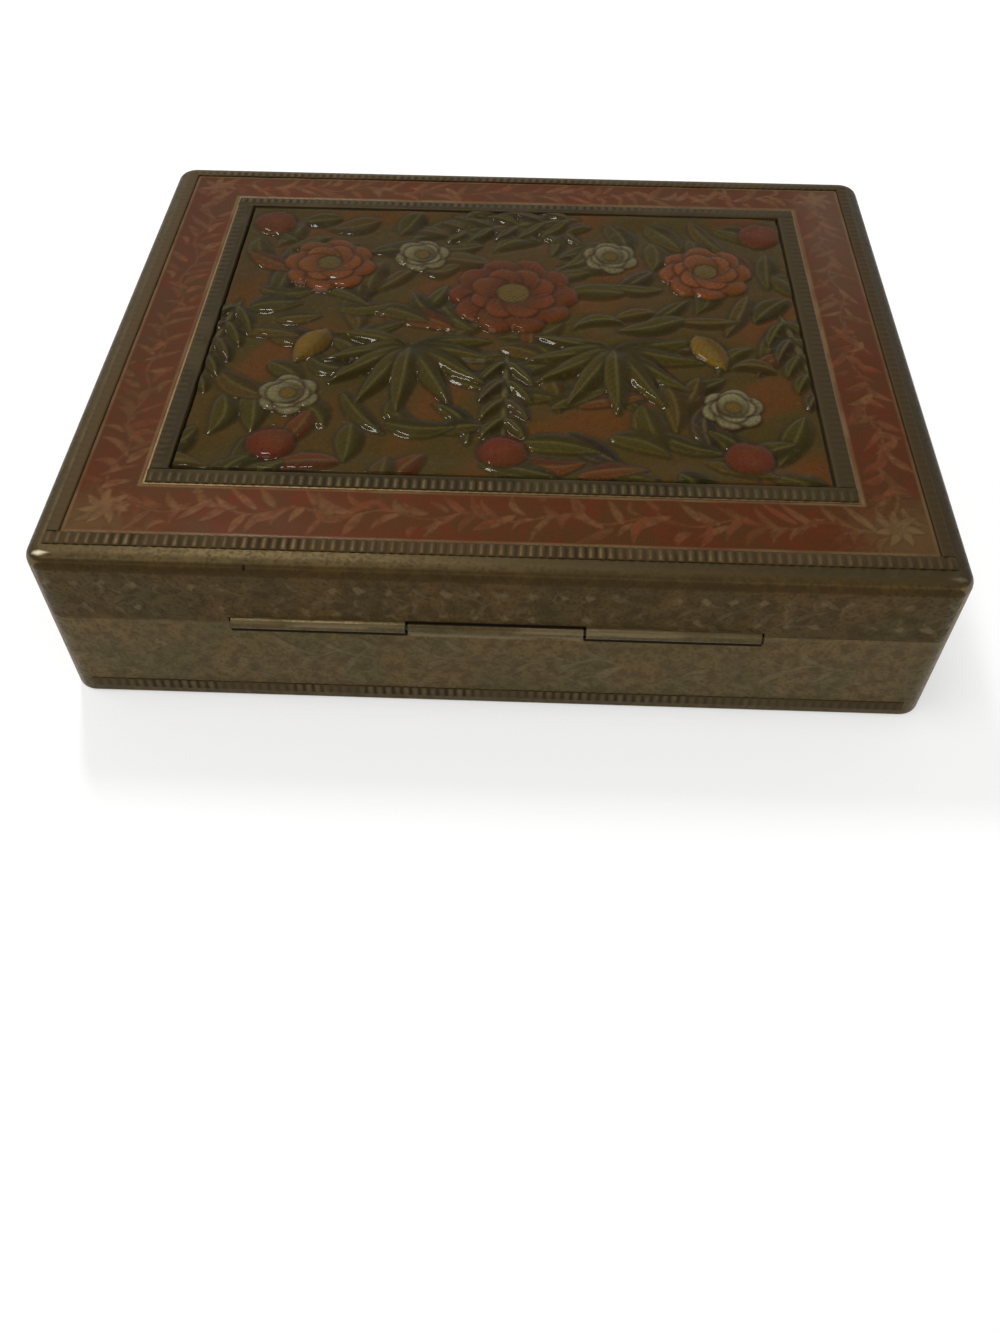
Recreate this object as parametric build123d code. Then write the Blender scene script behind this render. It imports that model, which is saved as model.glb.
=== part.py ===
from build123d import *

import os
from math import cos, radians, sin, tan

# Hinged metal trinket box: a folded brass tray lined with cedar, and a pressed lid with an
# enamelled border and an embossed plaque, joined by a three-knuckle hinge in the back wall.
# Frame: +X runs along the box, the hinge side is +Y, +Z is up. The origin is the centre of the
# underside, on the table. All sizes are in millimetres.

os.makedirs("parts", exist_ok=True)

# Shell: outside sizes, sheet and bends
box_length = 115.0
box_depth = 94.0
base_height = 15.25
lid_height = 10.15
sheet = 0.9
corner_radius = 3.0
top_edge_radius = 1.8
bottom_edge_radius = 0.6
floor_thickness = 0.9

# Hinge: one base knuckle between two lid knuckles on a loose pin
knuckle_radius = 0.9
knuckle_length = 22.0
knuckle_gap = 0.3
pin_radius = 0.42
pin_clearance = 0.05
pin_seat_clearance = 0.01
pin_end_inset = 0.3
axis_inset = 0.15
notch_clearance = 0.15
notch_end_gap = 0.25
lid_opening = 100.0
opening_spare = 5.0

# Cedar lining: boards on a floor board, standing proud of the rim except along the hinge
board = 1.6
floor_board = 1.2
lining_clearance = 0.2
lip_height = 1.4
hinge_board_clearance = 0.4
lid_board = 1.0

# Lid decoration: margins are measured in from the lid's outer faces
enamel_side_margin = 3.8
enamel_back_margin = 5.0
enamel_front_margin = 3.4
enamel_side_width = 8.1
enamel_back_width = 9.0
enamel_front_width = 6.6
enamel_depth = 0.3
divider_line = 0.3
outer_strip_side = 1.6
outer_strip_back = 2.1
outer_strip_front = 1.3
inner_strip = 2.5
foot_strip = 1.7
foot_strip_height = 1.3
strip_base = 0.1
strip_tooth = 0.22
strip_pitch = 1.2
tooth_slope = 0.2
tooth_valley = 0.25
foot_strip_tooth = 0.12

# Embossed plaque, let into a pocket in the lid
plaque_gap = 0.2
pocket_depth = 0.9
plaque_plate = 0.5
relief_low = 0.5
relief_high = 0.8
fan_leaf_length = 15.0
fan_leaf_width = 3.4
fan_leaves = 9
fan_spread = 206.0
frond_length = 21.0
frond_pairs = 5
frond_leaf_length = 7.0
frond_leaf_width = 2.2
leaf_slant = 35.0
leaf_taper = 0.4
stem_width = 0.9
peony_radius = 9.0
peony_petals = 10
rose_radius = 6.5
rose_petals = 8
flower_radius = 3.8
flower_petals = 5
boss_share = 0.45
petal_overlap = 1.1
petal_height_share = 0.8
fruit_radius = 3.2
bud_length = 9.0
bud_width = 4.6

# Thumb lip at the front of the lid
lip_length = 14.0
lip_projection = 1.8
lip_thickness = 0.9
lip_lift = 0.4
lip_edge_fillet = 0.25

# Places worked out from the sizes above
lid_top = base_height + lid_height
back_y = box_depth / 2
front_y = -box_depth / 2
side_x = box_length / 2
axis_y = back_y - axis_inset
axis_z = base_height
knuckle_pitch = knuckle_length + knuckle_gap
hinge_length = 3 * knuckle_length + 2 * knuckle_gap


def rounded_block(length, depth, low, high, radius):
    """A block centred on the Z axis from low to high, with rounded upright edges."""
    face = RectangleRounded(length, depth, radius)
    return Pos(0, 0, low) * extrude(face, high - low)


def plain_block(x0, x1, y0, y1, z0, z1):
    """A block between two opposite corners."""
    centre = Pos((x0 + x1) / 2, (y0 + y1) / 2, (z0 + z1) / 2)
    return centre * Box(x1 - x0, y1 - y0, z1 - z0)


def bar_along_x(radius, length, centre_x=0.0):
    """A round bar on the hinge axis."""
    return Pos(centre_x, axis_y, axis_z) * Rot(0, 90, 0) * Cylinder(radius, length)


def edges_at(solid, height):
    """The edges that lie wholly at one height."""
    return solid.edges().filter_by_position(Axis.Z, height - 1e-4, height + 1e-4)


def rim_bevel():
    """The wedge outside the hinge axis that both rims lose, so that the lid can swing back.

    Its half angle is half the opening, so the two bevels meet just past full opening.
    """
    reach = 3 * axis_inset
    half_angle = radians((lid_opening + opening_spare) / 2)
    rise = reach * tan(half_angle)
    corners = [(0, 0), (reach, rise), (reach, -rise)]
    wedge = extrude(Plane.YZ * make_face(Polyline(*corners, close=True)), box_length, both=True)
    return Pos(0, axis_y, axis_z) * wedge


def knuckle_notch(centre_x, above):
    """The slot in one shell's back wall that clears the other shell's knuckle."""
    half = knuckle_length / 2 + notch_end_gap
    reach = knuckle_radius + notch_clearance
    low = axis_z if above else axis_z - reach
    high = axis_z + reach if above else axis_z
    return plain_block(
        centre_x - half, centre_x + half, axis_y - reach, back_y + reach, low, high
    )


def make_base_wall():
    """One strip of sheet folded round the four corners, notched for the lid's knuckles."""
    outer = rounded_block(box_length, box_depth, 0, base_height, corner_radius)
    outer = fillet(edges_at(outer, 0), bottom_edge_radius)
    inner = rounded_block(
        box_length - 2 * sheet, box_depth - 2 * sheet, -1, base_height + 1, corner_radius - sheet
    )
    wall = outer - inner - rim_bevel() - bar_along_x(knuckle_radius, knuckle_length + 2 * knuckle_gap)
    for side in (-1, 1):
        wall -= knuckle_notch(side * knuckle_pitch, above=False)
    return wall


def make_base_floor():
    """The bottom plate, soldered inside the wall with its underside flush."""
    return rounded_block(
        box_length - 2 * sheet, box_depth - 2 * sheet, 0, floor_thickness, corner_radius - sheet
    )


def pocket_outline():
    """The inner border's outside corners: low x, high x, low y, high y."""
    side = side_x - enamel_side_margin - enamel_side_width - divider_line
    low = front_y + enamel_front_margin + enamel_front_width + divider_line
    high = back_y - enamel_back_margin - enamel_back_width - divider_line
    return -side, side, low, high


def inset(outline, distance):
    """A rectangle's corners moved in by one distance."""
    x0, x1, y0, y1 = outline
    return x0 + distance, x1 - distance, y0 + distance, y1 - distance


def plaque_outline():
    """The plaque's corners, inside the inner border."""
    return inset(pocket_outline(), inner_strip + plaque_gap)


def enamel_block(low, high):
    """The ring between the two borders that the enamel fills."""
    outer = plain_block(
        -side_x + enamel_side_margin, side_x - enamel_side_margin,
        front_y + enamel_front_margin, back_y - enamel_back_margin, low, high,
    )
    inner = plain_block(*inset(pocket_outline(), -divider_line), low - 1, high + 1)
    return outer - inner


def make_lid_shell():
    """The pressed lid: rolled top edge, enamel channel, plaque pocket and notched back wall."""
    outer = rounded_block(box_length, box_depth, base_height, lid_top, corner_radius)
    outer = fillet(edges_at(outer, lid_top), top_edge_radius)
    hollow = rounded_block(
        box_length - 2 * sheet, box_depth - 2 * sheet, base_height - 1, lid_top - sheet,
        corner_radius - sheet,
    )
    hollow = fillet(edges_at(hollow, lid_top - sheet), top_edge_radius - sheet)
    pocket = plaque_outline()
    pan = plain_block(*inset(pocket, -sheet), lid_top - pocket_depth - sheet, lid_top - sheet)
    shell = outer - hollow + pan
    shell -= plain_block(*inset(pocket, -plaque_gap), lid_top - pocket_depth, lid_top + 1)
    shell -= enamel_block(lid_top - enamel_depth, lid_top + 1)
    shell -= rim_bevel()
    for side in (-1, 1):
        shell -= bar_along_x(
            knuckle_radius, knuckle_length + 2 * knuckle_gap, side * knuckle_pitch
        )
    return shell - knuckle_notch(0, above=True)


def make_knuckle(centre_x, bore_clearance):
    """One length of hinge tube."""
    tube = bar_along_x(knuckle_radius, knuckle_length, centre_x)
    return tube - bar_along_x(pin_radius + bore_clearance, knuckle_length + 2, centre_x)


def make_hinge_pin():
    """The wire that the lid turns on."""
    return bar_along_x(pin_radius, hinge_length - 2 * pin_end_inset)


def milled_strip(length, width, tooth=strip_tooth):
    """A bar along X with a row of flat-topped beads on a thin base, its underside at zero.

    The side view is a row of trapezoids, so every bead is one pitch of the same outline.
    """
    count = max(2, round(length / strip_pitch))
    pitch = length / count
    top = strip_base + tooth
    points = [(-length / 2, 0), (-length / 2, strip_base)]
    for i in range(count):
        start = -length / 2 + i * pitch + tooth_valley / 2
        end = start + pitch - tooth_valley
        points += [(start, strip_base), (start + tooth_slope, top)]
        points += [(end - tooth_slope, top), (end, strip_base)]
    points += [(length / 2, strip_base), (length / 2, 0)]
    side_view = Plane.XZ * make_face(Polyline(*points, close=True))
    return extrude(side_view, width / 2, both=True)


def lid_strips(name, outline, side, back, front):
    """Four milled strips butted round a rectangle on the lid, the long ones running through."""
    x0, x1, y0, y1 = outline
    length, short = x1 - x0, (y1 - back) - (y0 + front)
    middle_y = (y1 - back + y0 + front) / 2
    upright = Rot(0, 0, 90) * milled_strip(short, side)
    return {
        f"{name}_front": Pos(0, y0 + front / 2, lid_top) * milled_strip(length, front),
        f"{name}_back": Pos(0, y1 - back / 2, lid_top) * milled_strip(length, back),
        f"{name}_left": Pos(x0 + side / 2, middle_y, lid_top) * upright,
        f"{name}_right": Pos(x1 - side / 2, middle_y, lid_top) * upright,
    }


def make_outer_border():
    """The milled wire between the rolled edge and the enamel."""
    x_out = side_x - enamel_side_margin + outer_strip_side
    y_low = front_y + enamel_front_margin - outer_strip_front
    y_high = back_y - enamel_back_margin + outer_strip_back
    outline = (-x_out, x_out, y_low, y_high)
    return lid_strips("outer_border", outline, outer_strip_side, outer_strip_back, outer_strip_front)


def make_inner_border():
    """The milled wire between the enamel and the plaque."""
    return lid_strips("inner_border", pocket_outline(), inner_strip, inner_strip, inner_strip)


def make_foot_border():
    """Four milled strips round the foot of the base, on the flat of each wall."""
    along_x = box_length - 2 * corner_radius
    along_y = box_depth - 2 * corner_radius
    middle_z = foot_strip_height + foot_strip / 2
    strips = {}
    for side, turn, length, distance in (
        ("front", 0, along_x, box_depth / 2), ("back", 180, along_x, box_depth / 2),
        ("right", 90, along_y, box_length / 2), ("left", -90, along_y, box_length / 2),
    ):
        standing = Rot(90, 0, 0) * milled_strip(length, foot_strip, foot_strip_tooth)
        strips[f"foot_border_{side}"] = Rot(0, 0, turn) * Pos(0, -distance, middle_z) * standing
    return strips


def leaf(root, angle, length, width, height):
    """A pointed leaf lying on the plaque, between two arcs from its root to its tip."""
    upper = ThreePointArc((0, 0), (length / 2, width / 2), (length, 0))
    lower = ThreePointArc((length, 0), (length / 2, -width / 2), (0, 0))
    blade = extrude(make_face([upper, lower]), height)
    return Pos(*root) * Rot(0, 0, angle) * blade


def fan(root, middle_angle):
    """A spray of leaves spread evenly from one root, the middle ones longest."""
    leaves = []
    for i in range(fan_leaves):
        share = i / (fan_leaves - 1)
        angle = middle_angle + fan_spread * (share - 0.5)
        length = fan_leaf_length * (0.8 + 0.2 * sin(radians(180 * share)))
        leaves.append(leaf(root, angle, length, fan_leaf_width, relief_high))
    return leaves


def frond(root, angle):
    """A straight stem with pairs of leaves slanting off it, shorter towards its tip."""
    stem = Pos(frond_length / 2, 0, relief_low / 2) * Box(frond_length, stem_width, relief_low)
    motifs = [Pos(*root) * Rot(0, 0, angle) * stem]
    x, y, z = root
    for i in range(frond_pairs):
        along = frond_length * (i + 0.5) / frond_pairs
        length = frond_leaf_length * (1 - leaf_taper * i / frond_pairs)
        fork = (x + along * cos(radians(angle)), y + along * sin(radians(angle)), z)
        for side in (-leaf_slant, leaf_slant):
            motifs.append(leaf(fork, angle + side, length, frond_leaf_width, relief_low))
    return motifs


def blossom(centre, radius, petals, height):
    """A flower of round petals about a raised boss."""
    petal = radius * sin(radians(180 / petals)) * petal_overlap
    petal_height = height * petal_height_share
    ring = radius - petal
    motifs = [Pos(*centre) * Pos(0, 0, height / 2) * Cylinder(radius * boss_share, height)]
    for i in range(petals):
        turn = radians(360 * i / petals)
        place = Pos(ring * cos(turn), ring * sin(turn), petal_height / 2)
        motifs.append(Pos(*centre) * place * Cylinder(petal, petal_height))
    return motifs


def make_relief_plaque():
    """The embossed sheet: sprays, fronds, blossoms, buds and fruits on a flat ground.

    Each motif's place is a share of the plaque's half sizes, and the sheet's edge trims it.
    """
    x0, x1, y0, y1 = plaque_outline()
    bottom = lid_top - pocket_depth
    ground = bottom + plaque_plate
    middle = (y0 + y1) / 2

    def place(share_x, share_y):
        return share_x * (x1 - x0) / 2, middle + share_y * (y1 - y0) / 2, ground

    motifs = blossom(place(-0.01, -0.28), peony_radius, peony_petals, relief_high)
    for share_x in (0.66, -0.70):
        motifs += blossom(place(share_x, -0.50), rose_radius, rose_petals, relief_high)
    for share_x, share_y in ((0.33, 0.14), (-0.36, 0.12)):
        motifs += fan(place(share_x, share_y), 90)
    for share_x, share_y, angle in (
        (0.94, -0.20, 80), (-0.94, -0.18, 100), (0.24, -0.96, 168), (-0.26, -0.96, 12), (0.0, 0.16, 90),
    ):
        motifs += frond(place(share_x, share_y), angle)
    for share_x, share_y in ((0.33, -0.60), (-0.36, -0.62), (0.70, 0.50), (-0.73, 0.52)):
        motifs += blossom(place(share_x, share_y), flower_radius, flower_petals, relief_low)
    for share_x, share_y, angle in ((0.62, 0.02, 65), (-0.64, 0.0, 115)):
        motifs.append(leaf(place(share_x, share_y), angle, bud_length, bud_width, relief_low))
    for share_x, share_y in ((0.72, 0.82), (0.0, 0.84), (-0.76, 0.84), (0.90, -0.86), (-0.92, -0.84)):
        fruit = Pos(0, 0, relief_low / 2) * Cylinder(fruit_radius, relief_low)
        motifs.append(Pos(*place(share_x, share_y)) * fruit)
    plate = plain_block(x0, x1, y0, y1, bottom, ground)
    window = plain_block(x0, x1, y0, y1, bottom, ground + 2 * relief_high)
    return plate.fuse(*motifs) & window


def lining_outline(low, high):
    """The room inside the walls that the cedar may fill."""
    gap = 2 * (sheet + lining_clearance)
    radius = corner_radius - sheet - lining_clearance
    return rounded_block(box_length - gap, box_depth - gap, low, high, radius)


def make_lining():
    """The floor board and the four wall boards, the long ones running through."""
    low = floor_thickness + floor_board
    high = base_height + lip_height
    hinge_high = axis_z - knuckle_radius - hinge_board_clearance
    room = lining_outline(low, high)
    x_out = side_x - sheet - lining_clearance
    y_out = back_y - sheet - lining_clearance
    x_in, y_in = x_out - board, y_out - board
    return {
        "lining_floor": lining_outline(floor_thickness, low),
        "lining_front": room & plain_block(-x_out, x_out, -y_out, -y_in, low, high),
        "lining_back": room & plain_block(-x_out, x_out, y_in, y_out, low, hinge_high),
        "lining_left": plain_block(-x_out, -x_in, -y_in, y_in, low, high),
        "lining_right": plain_block(x_in, x_out, -y_in, y_in, low, high),
    }


def make_lid_lining():
    """The thin board glued up under the plaque's pocket."""
    high = lid_top - pocket_depth - sheet
    return lining_outline(high - lid_board, high)


def make_thumb_lip():
    """The small bow-fronted lip soldered to the lid's front wall."""
    low = base_height + lip_lift
    arc = ThreePointArc(
        (-lip_length / 2, front_y), (0, front_y - lip_projection), (lip_length / 2, front_y)
    )
    chord = Line((lip_length / 2, front_y), (-lip_length / 2, front_y))
    lip = Pos(0, 0, low) * extrude(make_face([arc, chord]), lip_thickness)
    bow = lip.edges().filter_by(GeomType.CIRCLE)
    return fillet(bow, lip_edge_fillet)


pieces = {
    "base_wall": make_base_wall(),
    "base_floor": make_base_floor(),
    "base_knuckle": make_knuckle(0, pin_seat_clearance),
    "hinge_pin": make_hinge_pin(),
    "lid_shell": make_lid_shell(),
    "lid_knuckle_left": make_knuckle(-knuckle_pitch, pin_clearance),
    "lid_knuckle_right": make_knuckle(knuckle_pitch, pin_clearance),
    "enamel_border": enamel_block(lid_top - enamel_depth, lid_top),
    "relief_plaque": make_relief_plaque(),
    "lid_lining": make_lid_lining(),
    "thumb_lip": make_thumb_lip(),
    **make_outer_border(),
    **make_inner_border(),
    **make_foot_border(),
    **make_lining(),
}

for name, shape in pieces.items():
    export_step(shape, f"parts/{name}.step")
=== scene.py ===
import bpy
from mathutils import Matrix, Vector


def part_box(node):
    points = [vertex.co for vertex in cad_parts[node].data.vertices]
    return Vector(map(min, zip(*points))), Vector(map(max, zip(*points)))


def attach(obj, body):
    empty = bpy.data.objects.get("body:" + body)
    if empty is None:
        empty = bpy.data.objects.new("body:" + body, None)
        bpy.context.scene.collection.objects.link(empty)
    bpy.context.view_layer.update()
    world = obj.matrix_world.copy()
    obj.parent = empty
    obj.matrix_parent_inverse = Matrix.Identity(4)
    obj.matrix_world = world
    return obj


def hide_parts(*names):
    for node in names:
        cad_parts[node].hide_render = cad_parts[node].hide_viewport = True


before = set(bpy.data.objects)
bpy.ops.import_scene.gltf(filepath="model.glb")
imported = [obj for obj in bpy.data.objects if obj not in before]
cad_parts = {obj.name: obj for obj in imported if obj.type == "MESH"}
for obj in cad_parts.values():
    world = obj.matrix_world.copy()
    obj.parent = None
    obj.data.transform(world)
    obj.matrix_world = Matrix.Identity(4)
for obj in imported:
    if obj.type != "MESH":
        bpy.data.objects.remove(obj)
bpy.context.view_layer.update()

from math import cos, pi, radians, sin

import bpy
import numpy as np
from mathutils import Vector

# Viewpoint
# The box was seen from its hinge side, from above and a little off its middle. The lens, the
# place and the turn come from the outline of the box in the photograph.
lens = bpy.data.cameras.new("lens")
lens.sensor_width = 36
lens.lens = 30.775
lens.clip_start = 0.005
eye = bpy.data.objects.new("eye", lens)
eye.location = (-0.003234, 0.140344, 0.123973)
eye.rotation_euler = (radians(38.8373), radians(-0.3307), radians(-177.9734))
scene = bpy.context.scene
scene.collection.objects.link(eye)
scene.camera = eye
scene.view_settings.view_transform = "Standard"


# Table and daylight
# White paper on a table, in a pale room with a dim ceiling. Broad daylight comes from above and
# weaker light over the viewer's shoulder. A small window beyond the box puts the glints on it.
class Amount:
    """A number that varies over a surface. Arithmetic with it adds Math nodes."""

    def __init__(self, finish, socket):
        self.finish = finish
        self.socket = socket

    def maths(self, operation, *others):
        return self.finish.node("Math", {"operation": operation}, dict(enumerate((self, *others))))

    def __add__(self, other):
        return self.maths("ADD", other)

    def __sub__(self, other):
        return self.maths("SUBTRACT", other)

    def __rsub__(self, other):
        return (self * -1) + other

    def __mul__(self, other):
        return self.maths("MULTIPLY", other)

    def __truediv__(self, other):
        return self.maths("DIVIDE", other)

    def __pow__(self, other):
        return self.maths("POWER", other)

    def __abs__(self):
        return self.maths("ABSOLUTE")

    __radd__ = __add__
    __rmul__ = __mul__

    def larger(self, other):
        return self.maths("MAXIMUM", other)

    def rise(self, start, end):
        """0 up to start, 1 from end on, and a smooth slope between."""
        sockets = {"Value": self, "From Min": start, "From Max": end}
        return self.finish.node("MapRange", {"interpolation_type": "SMOOTHSTEP"}, sockets)


class Finish:
    """The nodes of one finish. Places on the piece are in millimetres."""

    def __init__(self, name, owner=None):
        self.owner = owner or bpy.data.materials.new(name)
        self.owner.use_nodes = True
        self.tree = self.owner.node_tree
        self.tree.nodes.clear()

    def node(self, kind, settings, sockets, out=0):
        """Any node: its settings first, then its sockets' values or links."""
        made = self.tree.nodes.new("ShaderNode" + kind)
        for name, value in settings.items():
            setattr(made, name, value)
        for name, value in sockets.items():
            if isinstance(value, Amount):
                self.tree.links.new(value.socket, made.inputs[name])
            else:
                made.inputs[name].default_value = value
        if made.outputs:
            return Amount(self, made.outputs[out])

    def split(self, vector):
        made = self.node("SeparateXYZ", {}, {"Vector": vector})
        return [Amount(self, socket) for socket in made.socket.node.outputs]

    def place(self):
        """The point on the piece, in millimetres."""
        point = self.node("TexCoord", {}, {}, "Object")
        scale = {0: point, 1: (1000, 1000, 1000)}
        return self.node("VectorMath", {"operation": "MULTIPLY"}, scale)

    def cloud(self, place, size, detail=3.0, stretch=(1, 1, 1)):
        """Noise from 0 to 1 whose lumps are about size millimetres, longer where stretch is."""
        scale = tuple(1 / (size * s) for s in stretch)
        spread = self.node("VectorMath", {"operation": "MULTIPLY"}, {0: place, 1: scale})
        return self.node("TexNoise", {}, {"Vector": spread, "Scale": 1.0, "Detail": detail})

    def trait(self, name):
        """A value stored at the points of the piece's own mesh."""
        return self.node("Attribute", {"attribute_name": name}, {}, "Fac")

    def over(self, mask, under, colour):
        """colour laid over under, by mask."""
        under, colour = [(*c, 1) if isinstance(c, tuple) else c for c in (under, colour)]
        return self.node("Mix", {"data_type": "RGBA"}, {0: mask, 6: under, 7: colour}, 2)

    def relief(self, height):
        """The normal of a surface raised by height millimetres."""
        return self.node("Bump", {}, {"Height": height, "Distance": 0.001, "Strength": 1.0})

    def body(self, **sockets):
        """The shader, with its sockets named with _ for a space."""
        named = {name.replace("_", " "): value for name, value in sockets.items()}
        return self.node("BsdfPrincipled", {}, named)

    def shade(self, **sockets):
        """Ends the finish with one shader, and gives the finish that a piece takes."""
        self.node("OutputMaterial", {}, {"Surface": self.body(**sockets)})
        return self.owner


def skin(name, points, faces, **traits):
    """A mesh piece from rows of points in millimetres and four-cornered faces, whose corners run
    anticlockwise seen from outside, with one value or colour of each trait at every point."""
    mesh = bpy.data.meshes.new(name)
    mesh.vertices.add(len(points))
    mesh.vertices.foreach_set("co", (points / 1000).astype(np.float32).ravel())
    mesh.loops.add(faces.size)
    mesh.loops.foreach_set("vertex_index", faces.astype(np.int32).ravel())
    mesh.polygons.add(len(faces))
    mesh.polygons.foreach_set("loop_start", np.arange(0, faces.size, 4, dtype=np.int32))
    mesh.polygons.foreach_set("use_smooth", np.ones(len(faces), bool))
    mesh.update(calc_edges=True)
    for trait, values in traits.items():
        if values.ndim == 1:
            mesh.attributes.new(trait, "FLOAT", "POINT").data.foreach_set("value", values.ravel())
        else:
            opaque = np.column_stack([values, np.ones(len(values))])
            mesh.attributes.new(trait, "FLOAT_COLOR", "POINT").data.foreach_set("color", opaque.ravel())
    piece = bpy.data.objects.new(name, mesh)
    scene.collection.objects.link(piece)
    return piece


def weave(rows, columns, ring=False):
    """The faces between rows and columns of points; ring joins the last column to the first."""
    index = np.arange(rows * columns).reshape(rows, columns)
    if ring:
        index = np.column_stack([index, index[:, 0]])
    corners = [index[:-1, :-1], index[:-1, 1:], index[1:, 1:], index[1:, :-1]]
    return np.stack(corners, -1).reshape(-1, 4)


# The paper is a disc: its rings are spaced by the square of their number.
rings, spokes, paper_reach = 13, 64, 1500
turn = np.linspace(0, 2 * pi, spokes, endpoint=False)
reach = paper_reach * np.linspace(0, 1, rings)[:, None] ** 2
paper_points = np.stack([reach * np.cos(turn), reach * np.sin(turn), 0 * reach * turn], -1)
paper = skin("paper", paper_points.reshape(-1, 3), weave(rings, spokes, ring=True)[:, ::-1])
paper_finish = Finish("paper")
paper_place = paper_finish.place()
paper_grain = paper_finish.cloud(paper_place, 0.6)
paper_tone = paper_finish.over(paper_grain, (0.95, 0.95, 0.945), (0.98, 0.98, 0.975))
matt = paper_finish.body(
    Base_Color=paper_tone,
    Roughness=0.9,
    Specular_IOR_Level=0.1,
    Normal=paper_finish.relief(paper_grain * 0.02),
)
# Seen directly or in a reflection, the paper is half white light of its own, and all of it far
# away, where the shadow of the box has ended.
seen = paper_finish.node("LightPath", {}, {}, "Is Camera Ray")
for kind in ("Is Glossy Ray", "Is Transmission Ray"):
    seen = seen.larger(paper_finish.node("LightPath", {}, {}, kind))
away = paper_finish.node("VectorMath", {"operation": "LENGTH"}, {0: paper_place}, "Value")
white = paper_finish.node("Emission", {}, {"Color": (1, 1, 1, 1)})
share = seen * (0.5 + 0.5 * away.rise(150, 600))
paper_surface = paper_finish.node("MixShader", {}, {0: share, 1: matt, 2: white})
paper_finish.node("OutputMaterial", {}, {"Surface": paper_surface})
paper.data.materials.append(paper_finish.owner)

room = bpy.data.worlds.new("room")
scene.world = room
room_light = Finish("room", room)
_, _, upward = room_light.split(room_light.node("TexCoord", {}, {}, "Generated"))
ceiling = 1 - 0.72 * upward.rise(0.30, 0.85)
walls = room_light.node("Background", {}, {"Color": (1, 1, 1, 1), "Strength": ceiling})
room_light.node("OutputWorld", {}, {"Surface": walls})


def lamp(name, kind, towards, energy, **settings):
    """A lamp in the direction of towards, shining at the box; a window stands at that place."""
    light = bpy.data.lights.new(name, kind)
    light.energy = energy
    for setting, value in settings.items():
        setattr(light, setting, value)
    stand = bpy.data.objects.new(name, light)
    stand.location = towards
    stand.rotation_mode = "QUATERNION"
    stand.rotation_quaternion = Vector(towards).to_track_quat("Z", "Y")
    stand.visible_camera = False
    scene.collection.objects.link(stand)


lamp("daylight", "SUN", (0.25, 0.05, 0.95), energy=1.0, angle=radians(24))
lamp("sidelight", "SUN", (-0.60, 0.65, 0.60), energy=0.45, angle=radians(50))
lamp("window", "AREA", (0.13, -0.22, 0.42), energy=0.90, shape="RECTANGLE", size=0.035, size_y=0.10)


# Lid shell
# Pressed brass sheet with a rolled top edge, gone brown with age. Its walls are chased with a
# running sprig that wear has nearly taken off, and worn metal with a painted highlight shines along the
# roll.
def sprigs(finish, along, up, middle, pitch, rise, length, width):
    """A chased running sprig. Each pitch of the wall has a leaf above its middle line and one
    below, half a pitch on, at forty degrees; a leaf narrows with the square of the distance
    from its middle. A swaying stem joins them."""
    tilt = radians(40)
    lean, slope = cos(tilt), sin(tilt)
    turns = along / pitch
    found = None
    for side, shift in ((1, 0.0), (-1, 0.5)):
        share = (turns + shift).maths("FRACT") - 0.5
        across = share * pitch
        off = (up - middle) * side - rise
        run = across * lean + off * slope
        drift = off * lean - across * slope - run * run * 0.12
        blade = 1 - (run / length) ** 2 - abs(drift) / width
        found = blade if found is None else found.larger(blade)
    stem = 0.35 - abs(up - middle - (turns * (2 * pi)).maths("SINE") * 0.5)
    return found.rise(0.0, 0.5).larger(stem.rise(0.0, 0.3) * 0.6)


def aged_brass(finish, place, warm, deep, green, size=1.0):
    """Mottled old brass: brown and green clouds over one another, and dark pin-point pits."""
    broad = finish.cloud(place, 9 * size, 2.0).rise(0.38, 0.62)
    patch = finish.cloud(place, 1.9 * size, 4.0).rise(0.42, 0.64)
    speck = finish.cloud(place, 0.5 * size, 3.0).rise(0.44, 0.68)
    tone = finish.over(broad, warm, green)
    tone = finish.over(patch * 0.62, tone, deep)
    return finish.over(speck * 0.45, tone, deep), patch, speck


def box_edge(x, y, half_x, half_y, middle_y=0.0):
    """How far a point is outside a rectangle, in millimetres."""
    return (abs(x) - half_x).larger(abs(y - middle_y) - half_y)


shell = Finish("lid_brass")
spot = shell.place()
x, y, z = shell.split(spot)
tone, patch, speck = aged_brass(
    shell, spot, (0.078, 0.047, 0.016), (0.034, 0.021, 0.007), (0.062, 0.043, 0.016)
)
# Near black: painted shade in the gaps of the hinge, and the dark spot of the dent.
dirt_and_shade = (0.012, 0.007, 0.003)
# Chasing: an upper and a lower course of sprigs, which stops under the roll.
wander = shell.cloud(spot, 6, 1.0) * 2.4
along = x + y + wander
upper = sprigs(
    shell, along, z + wander * 0.5, middle=20.9, pitch=5.0, rise=1.2, length=1.6, width=0.50
)
lower = sprigs(
    shell, along * -1 + 1.7, z + wander * 0.8, middle=18.6, pitch=3.9, rise=0.8, length=1.3, width=0.55
)
chased = upper.larger(lower * 0.7)
chased = chased * shell.cloud(spot, 7, 2.0).rise(0.36, 0.62) * (1 - z.rise(23.4, 23.9))
tone = shell.over(chased * 0.28, tone, (0.130, 0.094, 0.047))
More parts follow.
